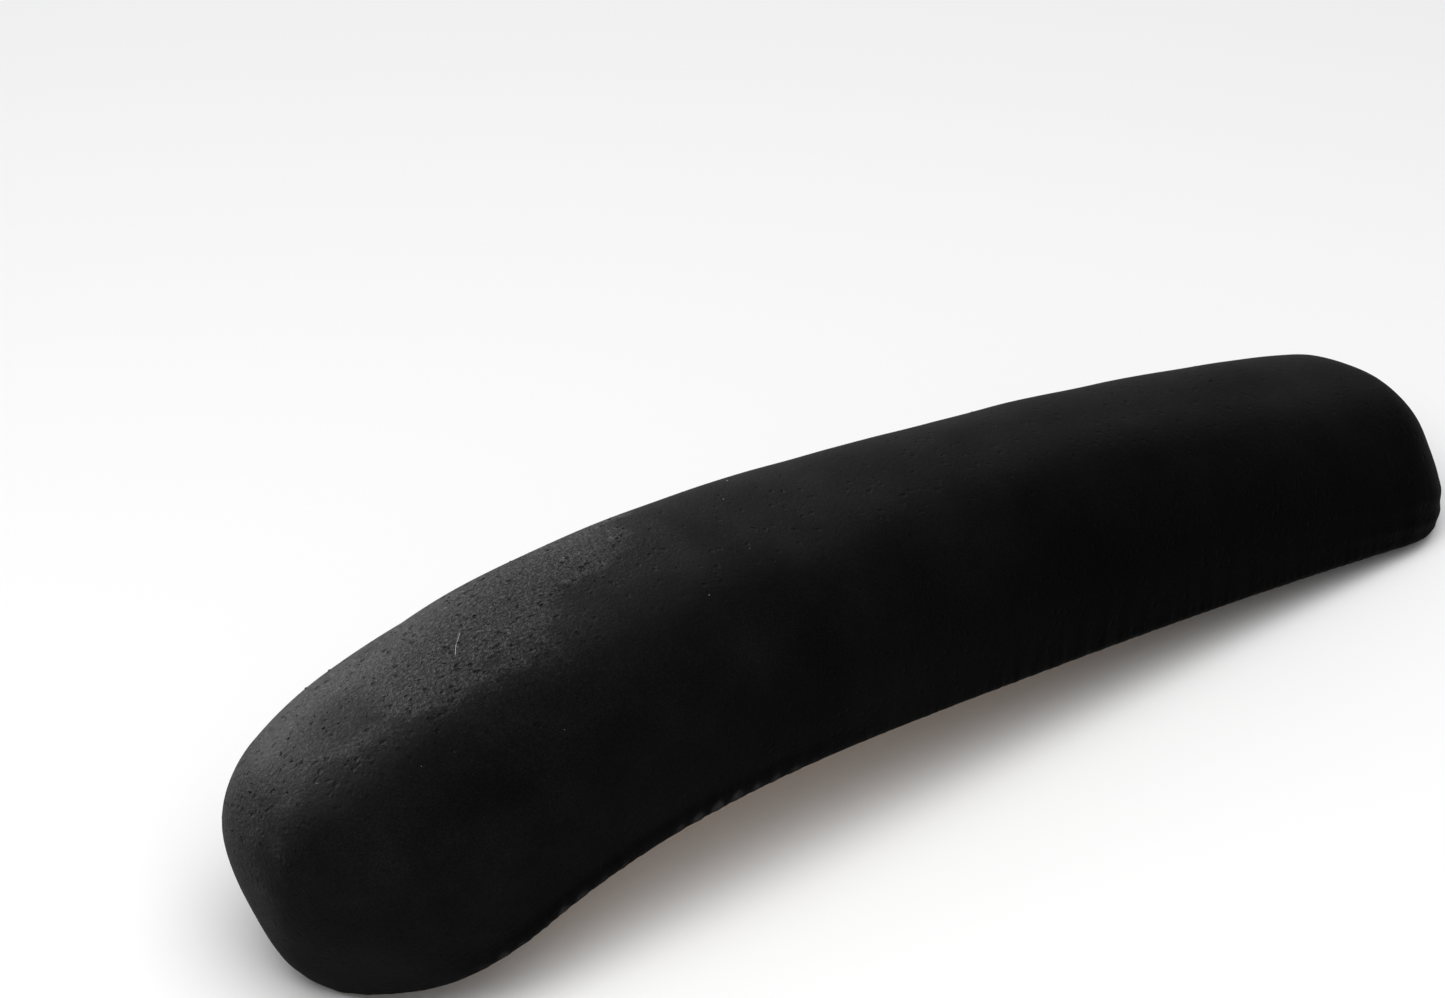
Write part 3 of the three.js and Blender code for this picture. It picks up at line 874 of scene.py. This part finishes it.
def hem_stitches(material):
    """Two rows of short stitches along the underside of the hem."""
    places = []
    for from_seam in STITCH_ROWS:
        loop = loop_round(0.0, flat_rise(HEM_LOW), 1600, tuck=HEM_OUTSIDE + from_seam)
        points = to_mm(loop[None])[0]
        along = around_length(points[None])[0]
        total = along[-1] + np.linalg.norm(points[0] - points[-1])
        count = int(total / STITCH["pitch"])
        for k in range(count):
            i = int(np.searchsorted(along, total * k / count)) % len(points)
            ahead = points[(i + 2) % len(points)] - points[i - 2]
            s = loop[i, 0]
            local = board_frame(s, 0, 0).to_3x3().transposed() @ Vector(ahead)
            turn = math.atan2(local.y, local.x) + STITCH["slant"] * (-1) ** k
            matrix = board_frame(s, 0, 0, turn).to_3x3().to_4x4() @ Matrix.Rotation(math.pi, 4, "X")
            places.append((points[i], matrix))
    piece = repeat("hem_stitches", stitch_shape(), places, 0.12, 5, material)
    return finish_piece(piece, material, "cover_knit")


def surface_frames(piece, chosen, spin):
    """(position in mm, turn) of chosen vertices, Z along the normal and turned about it."""
    vertices = piece.data.vertices
    frames = []
    for index, angle in zip(chosen, spin):
        normal = vertices[int(index)].normal
        turn = normal.to_track_quat("Z", "Y").to_matrix().to_4x4() @ Matrix.Rotation(float(angle), 4, "Z")
        frames.append(([c / MM for c in vertices[int(index)].co], turn))
    return frames


def scatter(cover, name, count, weight, size, seed, material, slot):
    """Small flattened lumps on the cover, thicker where weight(points in metres) is higher."""
    flat = np.empty(len(cover.data.vertices) * 3, np.float32)
    cover.data.vertices.foreach_get("co", flat)
    share_of = weight(flat.reshape(-1, 3))
    draw = np.random.default_rng(seed)
    chosen = draw.choice(len(share_of), count, replace=False, p=share_of / share_of.sum())
    bm = bmesh.new()
    bmesh.ops.create_icosphere(bm, subdivisions=2, radius=1.0)
    bmesh.ops.scale(bm, vec=[s * MM / 2 for s in size], verts=bm.verts)
    mesh = bpy.data.meshes.new(name + "_shape")
    bm.to_mesh(mesh)
    bm.free()
    mesh.polygons.foreach_set("use_smooth", [True] * len(mesh.polygons))
    places = surface_frames(cover, chosen, draw.uniform(0, 2 * np.pi, count))
    piece = repeat(name, add_object(name + "_shape", mesh), places, 0.55, seed, material)
    return finish_piece(piece, material, slot)


def rubbed_weight(points):
    """Where the pills are: mostly on the rubbed top of the nose."""
    x, y, z = points.T
    border = -0.026 + 0.038 * np.clip((x - 0.040) / 0.065, 0, 1)
    top = smooth_step((z - 0.03) / 0.02)
    return 0.015 * top + top * smooth_step((x - 0.03) / 0.03) * smooth_step((border - y + 0.006) / 0.012)


def top_weight(points):
    """Where the lint is: on top of the pad, towards the nose."""
    x, y, z = points.T
    return smooth_step((z - 0.055) / 0.015) * smooth_step((x + 0.02) / 0.05)


FIBRE_RADIUS = 0.035


def lint_fibre(material):
    """One pale fibre caught on the nap."""
    stops = np.linspace(0, 1, 14)
    s = 286 + 4.0 * stops + 0.12 * np.sin(5 * stops)
    y = -3.5 + 5.4 * stops + 0.15 * np.sin(7 * stops)
    path = place(s, y, height(s) + 0.12 + 0.25 * np.sin(np.pi * stops))
    ahead = unit(np.gradient(path, axis=0))
    side = unit(np.cross(ahead, [0.0, 0.0, 1.0]))
    up = np.cross(side, ahead)
    lines = [path + FIBRE_RADIUS * (side * math.cos(a) + up * math.sin(a)) for a in THREAD_ANGLES]
    points = np.stack(lines, 1).reshape(-1, 3)
    piece = make_object("lint_fibre", points, closed_faces(len(stops), len(lines)), merge=0.001)
    return finish_piece(piece, material, "cover_knit")


STAPLE = {"crown": 10.0, "wire": 1.2, "thickness": 0.6, "leg": 5.5}
STAPLES_PER_SIDE = 9
STAPLE_SIDE_REACH = 40.0


def staple_shape():
    """U of flat wire with rounded shoulders: crown below height 0, legs up."""
    half = STAPLE["crown"] / 2 - STAPLE["thickness"] / 2
    low, bend = -STAPLE["thickness"] / 2, 0.5
    path = [(-half, STAPLE["leg"]), (-half, low + bend)]
    path += [(-half + bend * (1 - math.cos(a)), low + bend * (1 - math.sin(a))) for a in (0.5, 1.05)]
    path += [(-half + bend, low), (0.0, low + 0.05), (half - bend, low)]
    path += [(half - bend * (1 - math.cos(a)), low + bend * (1 - math.sin(a))) for a in (1.05, 0.5)]
    path += [(half, low + bend), (half, STAPLE["leg"])]
    ahead = unit(np.gradient(path, axis=0))
    side = np.stack([-ahead[:, 1], ahead[:, 0]], -1) * STAPLE["thickness"] / 2
    wide = STAPLE["wire"] / 2
    rings = []  # four corners at each stop of the path
    for (x, z), (dx, dz) in zip(path, side):
        rings += [(x - dx, -wide, z - dz), (x + dx, -wide, z + dz)]
        rings += [(x + dx, wide, z + dz), (x - dx, wide, z - dz)]
    return make_object("staple", rings, closed_faces(len(path), 4), smooth=False, merge=0.001)


def build_staples(material):
    edge = lambda s: float(half_width(s) * share(s, 0.0, "plan")) - STAPLE_INSET
    side_length = PAD_LENGTH - 2 * STAPLE_SIDE_REACH
    reach = STAPLE["crown"] / 2
    frames = []
    for side in (-1, 1):
        for i in range(STAPLES_PER_SIDE):
            s = STAPLE_SIDE_REACH + side_length * i / (STAPLES_PER_SIDE - 1)
            turn = math.atan2(side * (edge(s + reach) - edge(s)), reach)
            frames.append(board_frame(s, side * edge(s), LINER_INSET - GAP, turn))
    for s in (STAPLE_INSET, PAD_LENGTH - STAPLE_INSET):
        frames.append(board_frame(s, 0.0, LINER_INSET - GAP, math.pi / 2))
    places = [(list(matrix.translation), matrix) for matrix in frames]
    piece = repeat("staple_row", staple_shape(), places, 0.0, 6, material)
    nodes = [name for name in frame["nodes"] if name.startswith("staple_")]
    return finish_piece(piece, material, "zinc_steel", *nodes)


# ---------- Shading ----------
class Finish(Tree):
    """A material under construction: its node tree and the shader at its end."""

    def __init__(self, name, roughness=0.8, **fixed):
        self.material = bpy.data.materials.new(name)
        self.material.use_nodes = True
        super().__init__(self.material.node_tree)
        self.shader = self.made_in.nodes["Principled BSDF"]
        self.shader.inputs["Roughness"].default_value = roughness
        for socket, value in fixed.items():
            self.shader.inputs[socket.replace("_", " ")].default_value = value

    def where(self, stretch=(1, 1, 1)):
        start = self.add("ShaderNodeTexCoord").outputs["Object"]
        return self.add("ShaderNodeMapping", None, {"Vector": start, "Scale": stretch}).outputs[0]

    def noise(self, where, scale, detail=2.0, roughness=0.5):
        inputs = {"Vector": where, "Scale": scale, "Detail": detail, "Roughness": roughness}
        return Wire(self, self.add("ShaderNodeTexNoise", None, inputs).outputs["Fac"])

    def cells(self, where, scale, randomness=1.0):
        inputs = {"Vector": where, "Scale": scale, "Randomness": randomness}
        return Wire(self, self.add("ShaderNodeTexVoronoi", None, inputs).outputs["Distance"])

    def waves(self, where, scale, axis, distortion=0.0):
        settings = {"wave_type": "BANDS", "bands_direction": axis}
        inputs = {"Vector": where, "Scale": scale, "Distortion": distortion, "Detail": 1.0}
        return Wire(self, self.add("ShaderNodeTexWave", settings, inputs).outputs["Fac"])

    def between(self, value, low, high, new_low=0.0, new_high=1.0):
        inputs = {"Value": value, "From Min": low, "From Max": high, "To Min": new_low, "To Max": new_high}
        return Wire(self, self.add("ShaderNodeMapRange", {"clamp": True}, inputs).outputs[0])

    def ramp(self, value, stops):
        made = self.add("ShaderNodeValToRGB", None, {0: value})
        marks = made.color_ramp.elements
        for mark, (position, color) in zip((marks[0], marks[1]), (stops[0], stops[-1])):
            mark.position, mark.color = position, (*color, 1)
        for position, color in stops[1:-1]:
            marks.new(position).color = (*color, 1)
        return made.outputs[0]

    def grays(self, value, stops, lift=1.0, warm=0.0):
        """Ramp of plain grays, from (position, gray) pairs."""
        return self.ramp(value, [(position, gray(tone * lift, warm)) for position, tone in stops])

    def pits(self, where, scale):
        """Small ragged pits at under half of the cells."""
        bent = self.add("ShaderNodeTexNoise", None, {"Vector": where, "Scale": scale * 1.6}).outputs["Color"]
        shifted = self.add("ShaderNodeVectorMath", {"operation": "MULTIPLY_ADD"},
                           {0: bent, 1: (0.8 / scale,) * 3, 2: where}).outputs[0]
        cells = self.add("ShaderNodeTexVoronoi", None, {"Vector": shifted, "Scale": scale})
        chosen = self.add("ShaderNodeSeparateColor", None, {0: cells.outputs["Color"]}).outputs[0]
        inside = self.between(Wire(self, cells.outputs["Distance"]), 0.14, 0.36, 1.0, 0.0)
        return inside * self.between(Wire(self, chosen), 0.5, 0.7)

    def mix(self, factor, first, second):
        made = self.add("ShaderNodeMix", {"data_type": "RGBA"}, {0: factor, 6: first, 7: second})
        return made.outputs[2]

    def bump(self, *layers):
        """Layers of (height, distance in metres, strength), the first one lowest."""
        normal = None
        for height_here, distance, strength in layers:
            inputs = {"Height": height_here, "Distance": distance, "Strength": strength}
            if normal is not None:
                inputs["Normal"] = normal
            normal = self.add("ShaderNodeBump", None, inputs).outputs[0]
        self.plug(self.shader.inputs["Normal"], normal)

    def done(self, **inputs):
        for socket, value in inputs.items():
            self.plug(self.shader.inputs[socket.replace("_", " ")], value)
        return self.material


def gray(value, warm=0.0):
    return (value * (1 + warm), value, value * (1 - warm))


# Grays of the knit, as (place on the ramp, gray): in painted shade, in painted light, and rubbed up with a
# painted highlight.
KNIT_DARK = [(0.35, 0.0001), (0.66, 0.001)]
KNIT_PAINTED_LIGHT = [(0.35, 0.002), (0.5, 0.0048), (0.66, 0.0105)]
KNIT_NAPPED_AND_HIGHLIT = [(0.34, 0.002), (0.48, 0.0078), (0.6, 0.019), (0.7, 0.052)]
# Painted shade in the pits and over the hem's gathers, and a painted highlight on the gathers' crests.
PIT_SHADE_GRAY, EDGE_SHADE_GRAY, EDGE_HIGHLIGHT_GRAY = 0.001, 0.0001, 0.024
DIMMER_SPOT = (0.152, -0.003, 0.071)  # a spot where the rubbed patch, partly a painted highlight, is darker again


def rubbed_and_highlit_area(finish):
    """0 to 1: the top of the nose on its far side, where the nap is rubbed up and a highlight is painted in,
    with a ragged border.
    """
    place_here = finish.add("ShaderNodeTexCoord").outputs["Object"]
    axes = finish.add("ShaderNodeSeparateXYZ", None, {0: place_here}).outputs
    x, y, z = (Wire(finish, axis) for axis in axes)
    ragged = (finish.noise(place_here, 36.0, 3.0, 0.6) - 0.5) * 0.05
    ragged = ragged + (finish.noise(place_here, 130.0, 2.0, 0.6) - 0.5) * 0.02
    border = finish.between(x, 0.040, 0.105, -0.026, 0.010)
    inside = border + ragged - y
    across = finish.between(inside, -0.001, 0.005) * 0.75 + finish.between(inside, -0.028, 0.004) * 0.25
    along = finish.between(x + ragged, 0.030, 0.055)
    upward = finish.between(z + ragged, 0.012, 0.05) * finish.between(y + ragged, -0.042, -0.024, 0.2, 1.0)
    front = finish.between(x + ragged * 0.5, 0.146, 0.170, 1.0, 0.55)
    to_spot = finish.add("ShaderNodeVectorMath", {"operation": "DISTANCE"}, {0: place_here, 1: DIMMER_SPOT})
    spot_fade = finish.between(Wire(finish, to_spot.outputs["Value"]) + ragged * 0.3, 0.003, 0.013, 0.45, 1.0)
    return across * along * upward * front * spot_fade


def knit_finish(name="black_stretch_knit", lift=1.0, rubbed=True):
    """Black double-knit with a faintly pebbled, brushed face, with painted light: paler on upward faces and
    towards the nose, a painted highlight on the rubbed patch, and painted shade in pits and over the hem's
    gathers.
    """
    finish = Finish(name, Specular_IOR_Level=0.012, Sheen_Weight=0.006, Sheen_Roughness=0.5,
                    Coat_Roughness=0.5)
    where = finish.where()
    ribs = finish.waves(where, 330.0, "DIAGONAL", 2.5)
    pebble = finish.noise(where, 1150.0, 2.0, 0.55)
    fuzz = finish.noise(where, 3400.0, 2.0, 0.6)
    patches = finish.noise(where, 38.0, 3.0, 0.55)
    tone = fuzz * 0.6 + patches * 0.4
    along = finish.add("ShaderNodeSeparateXYZ", None, {0: where}).outputs[0]
    # Painted light: upward faces and the nose end are painted paler and the rear darker, standing in for the
    # light that falls there.
    facing = finish.add("ShaderNodeNewGeometry").outputs["Normal"]
    upward = finish.between(finish.add("ShaderNodeSeparateXYZ", None, {0: facing}).outputs[2], 0.3, 0.95)
    painted_top_light = upward * finish.between(along, 0.02, 0.11, 0.48, 0.05)
    painted_light = finish.between(along, -0.05, 0.19) * 0.85 + painted_top_light
    shade = finish.mix(finish.between(painted_light, 0.0, 1.0), finish.grays(tone, KNIT_DARK, lift),
                       finish.grays(tone, KNIT_PAINTED_LIGHT, lift))
    relief = fuzz * 0.88 + ribs * 0.12
    pits = finish.pits(where, 430.0)
    depth = pebble - pits * 1.3
    coat = 0.0
    # The rubbed patch, partly rubbed-up nap and partly a painted highlight, and the painted light and shade
    # at the hem's gathers.
    if rubbed:
        nap_and_highlight = rubbed_and_highlit_area(finish)
        shade = finish.mix(nap_and_highlight, shade, finish.grays(fuzz * 0.55 + pebble * 0.45, KNIT_NAPPED_AND_HIGHLIT))
        # Painted shade in the pits of the rubbed patch.
        shade = finish.mix(pits * nap_and_highlight * 0.9, shade, (*gray(PIT_SHADE_GRAY), 1))
        depth = depth * (nap_and_highlight * 0.65 + 0.35)
        coat = nap_and_highlight * 0.035
        # Painted shade over the bunched gathers at the hem and a painted highlight on their crests.
        marked = finish.add("ShaderNodeAttribute", {"attribute_name": "edge_tone"})
        edge = Wire(finish, marked.outputs["Fac"])
        shade = finish.mix(finish.between(edge, -0.6, 0.0, 0.65, 0.0), shade, (*gray(EDGE_SHADE_GRAY), 1))
        crests = finish.between(edge, 0.0, 0.9, 0.0, 0.8) * (pebble * 1.5)
        shade = finish.mix(crests, shade, (*gray(EDGE_HIGHLIGHT_GRAY), 1))
    finish.bump((depth, 0.00055, 0.85), (relief, 0.00024, 0.8))
    rough = finish.between(patches, 0.3, 0.7, 0.58, 0.7)
    return finish.done(Base_Color=shade, Coat_Weight=coat, Roughness=rough)


def lint_finish():
    finish = Finish("pale_lint", 0.8)
    shade = finish.grays(finish.noise(finish.where(), 2000.0), [(0.3, 0.12), (0.7, 0.3)], warm=0.03)
    return finish.done(Base_Color=shade)


def elastic_finish():
    finish = Finish("woven_elastic", 0.75)
    where = finish.where()
    weave = finish.waves(where, 700.0, "X") * 0.5 + finish.waves(where, 900.0, "Y") * 0.5
    finish.bump((weave, 0.0002, 0.7))
    return finish.done(Base_Color=finish.grays(weave, [(0.2, 0.006), (0.8, 0.022)]))


def liner_finish():
    """Spun-bonded cloth: small pressed dots on a fibrous ground."""
    finish = Finish("spun_bonded_cloth", 0.88)
    dots = finish.between(finish.cells(finish.where(), 650.0, 0.15), 0.2, 0.42)
    fibre = finish.noise(finish.where((1, 4, 2)), 900.0, 4.0, 0.7)
    shade = finish.grays(dots * 0.5 + fibre * 0.5, [(0.25, 0.012), (0.7, 0.035), (0.9, 0.06)])
    finish.bump((dots, 0.00018, 0.6), (fibre, 0.0001, 0.5))
    return finish.done(Base_Color=shade)


def wadding_finish():
    finish = Finish("polyester_wadding", 1.0, Sheen_Weight=0.3)
    fibre = finish.noise(finish.where((1, 3, 1)), 500.0, 6.0, 0.75)
    finish.bump((fibre, 0.0012, 0.9))
    return finish.done(Base_Color=finish.ramp(fibre, [(0.3, (0.62, 0.61, 0.58)), (0.7, (0.9, 0.9, 0.88))]))


def foam_finish(name, pale, deep, cell):
    finish = Finish(name, 0.95)
    where = finish.where()
    pores = finish.cells(where, cell) * 0.7 + finish.cells(where, cell * 2.3) * 0.3
    finish.bump((pores, 0.0006, 0.8))
    return finish.done(Base_Color=finish.ramp(pores, [(0.1, deep), (0.5, pale)]))


def plywood_finish():
    """Beech ply: long grain and flecks on the faces, plies along the edge."""
    finish = Finish("moulded_beech_ply", 0.62)
    grain = finish.noise(finish.where((1.2, 16, 16)), 26.0, 6.0, 0.65)
    figure = finish.noise(finish.where((1, 7, 1)), 14.0, 3.0, 0.5)
    flecks = finish.between(finish.cells(finish.where((1, 5, 5)), 210.0), 0.0, 0.16, 1.0, 0.0)
    tone = grain * 0.55 + figure * 0.45
    shade = finish.ramp(tone - flecks * 0.12, [(0.28, (0.27, 0.14, 0.065)), (0.5, (0.46, 0.28, 0.145)),
                                              (0.72, (0.60, 0.41, 0.24))])
    finish.bump((grain, 0.00025, 0.5), (flecks, 0.00008, 0.6))
    rough = finish.between(tone, 0.3, 0.7, 0.55, 0.75)
    return finish.done(Base_Color=shade, Roughness=rough)


def steel_finish():
    """Zinc-plated steel: fine spangle, faint yellowing and rubbed spots."""
    finish = Finish("zinc_plated_steel", 0.35, Metallic=1.0)
    where = finish.where()
    spangle = finish.cells(where, 900.0)
    cloud = finish.noise(where, 160.0, 4.0, 0.6)
    shade = finish.ramp(cloud * 0.7 + spangle * 0.3, [(0.3, (0.38, 0.37, 0.34)), (0.7, (0.66, 0.67, 0.68))])
    finish.bump((cloud, 0.00004, 0.5))
    return finish.done(Base_Color=shade, Roughness=finish.between(cloud, 0.3, 0.7, 0.28, 0.5))


def thread_finish():
    finish = Finish("black_sewing_thread", 0.6)
    twist = finish.waves(finish.where(), 1500.0, "DIAGONAL")
    finish.bump((twist, 0.0001, 0.6))
    return finish.done(Base_Color=finish.grays(twist, [(0.2, 0.008), (0.8, 0.03)]))


# ---------- Stage, camera and light ----------
FLOOR_REACH = 4.0


def add_stage():
    """Pale floor that can only be seen from above, so that views from below show the underside."""
    low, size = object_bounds()[0].z, FLOOR_REACH
    corners = [(-size, -size, low), (size, -size, low), (size, size, low), (-size, size, low)]
    mesh = bpy.data.meshes.new("floor")
    mesh.from_pydata(corners, [], [(0, 1, 2, 3)])
    floor = add_object("floor", mesh)
    paint = Finish("pale_floor", 0.9)
    paint.done(Base_Color=(0.85, 0.85, 0.85, 1))
    output = paint.made_in.nodes["Material Output"]
    below = paint.add("ShaderNodeNewGeometry").outputs["Backfacing"]
    clear = paint.add("ShaderNodeBsdfTransparent").outputs[0]
    mix = paint.add("ShaderNodeMixShader", None, {0: below, 1: paint.shader.outputs[0], 2: clear})
    paint.plug(output.inputs["Surface"], mix.outputs[0])
    add_slot(floor, paint.material)
    floor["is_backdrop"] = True
    return floor


CAMERA = {"azimuth": 141.99, "elevation": 36.05, "roll": 0.74, "distance": 1.5,
          "target": (0.0427, 0.0, 0.0875), "lens": 156.9}


def add_camera():
    azimuth, elevation, roll = (math.radians(CAMERA[k]) for k in ("azimuth", "elevation", "roll"))
    back = Vector((math.sin(azimuth) * math.cos(elevation), -math.cos(azimuth) * math.cos(elevation),
                   math.sin(elevation)))
    right = (-back).cross(Vector((0, 0, 1))).normalized()
    up = right.cross(-back)
    turned_right = right * math.cos(roll) + up * math.sin(roll)
    turned_up = up * math.cos(roll) - right * math.sin(roll)
    data = bpy.data.cameras.new("camera")
    data.lens = CAMERA["lens"]
    data.sensor_width = 36.0
    data.clip_start = 0.01
    pose = Matrix((turned_right, turned_up, back)).transposed().to_4x4()
    pose.translation = Vector(CAMERA["target"]) + back * CAMERA["distance"]
    camera = add_object("camera", data)
    camera.matrix_world = pose
    bpy.context.scene.camera = camera


def add_area_light(name, position, target, size, power):
    data = bpy.data.lights.new(name, "AREA")
    data.shape = "RECTANGLE"
    data.size, data.size_y = size
    data.energy = power
    lamp = add_object(name, data)
    turn = (Vector(position) - Vector(target)).to_track_quat("Z", "Y")
    lamp.matrix_world = Matrix.Translation(Vector(position)) @ turn.to_matrix().to_4x4()
    return lamp


def keep_light_off(lamp, thing):
    """The lamp lights everything but that thing."""
    unlit = bpy.data.collections.new(lamp.name + "_unlit")
    unlit.objects.link(thing)
    lamp.light_linking.receiver_collection = unlit
    unlit.collection_objects[0].light_linking.link_state = "EXCLUDE"


ROOM_LIGHT = 0.46
WINDOW = {"position": (0.30, -0.85, 0.40), "target": (0.12, -0.01, 0.05), "size": (0.5, 0.4), "power": 48}
CEILING = {"position": (0.35, 0.3, 1.2), "target": (0.05, 0, 0), "size": (1.2, 1.2), "power": 17}


def add_light(floor):
    world = bpy.data.worlds.new("soft_room")
    world.use_nodes = True
    glow = world.node_tree.nodes["Background"].inputs
    glow["Color"].default_value = (1, 1, 1, 1)
    glow["Strength"].default_value = ROOM_LIGHT
    bpy.context.scene.world = world
    keep_light_off(add_area_light("window", **WINDOW), floor)
    add_area_light("ceiling", **CEILING)


# ---------- Everything ----------
add_camera()
knit = knit_finish()
cover = build_cover(knit)
hem_knit = knit_finish("black_hem_knit", 1.6, rubbed=False)
build_hem(hem_knit)
scatter(cover, "knit_pills", 420, rubbed_weight, (0.95, 0.6, 0.42), 71, knit, "cover_knit")
lint = lint_finish()
scatter(cover, "lint_specks", 26, top_weight, (0.34, 0.2, 0.2), 72, lint, "cover_knit")
lint_fibre(lint)
hem_stitches(thread_finish())
build_elastic(elastic_finish())
build_liner(liner_finish())
build_wadding(wadding_finish())
build_comfort_foam(foam_finish("soft_cream_foam", (0.78, 0.68, 0.42), (0.5, 0.4, 0.2), 1100.0))
build_core_foam(foam_finish("firm_gray_foam", (0.24, 0.25, 0.28), (0.1, 0.1, 0.12), 1600.0))
steel = steel_finish()
build_tee_nuts(steel)
build_staples(steel)
add_slot(frame["nodes"]["carrier_board"], plywood_finish())
add_light(add_stage())
bpy.context.scene.view_settings.view_transform = "Standard"
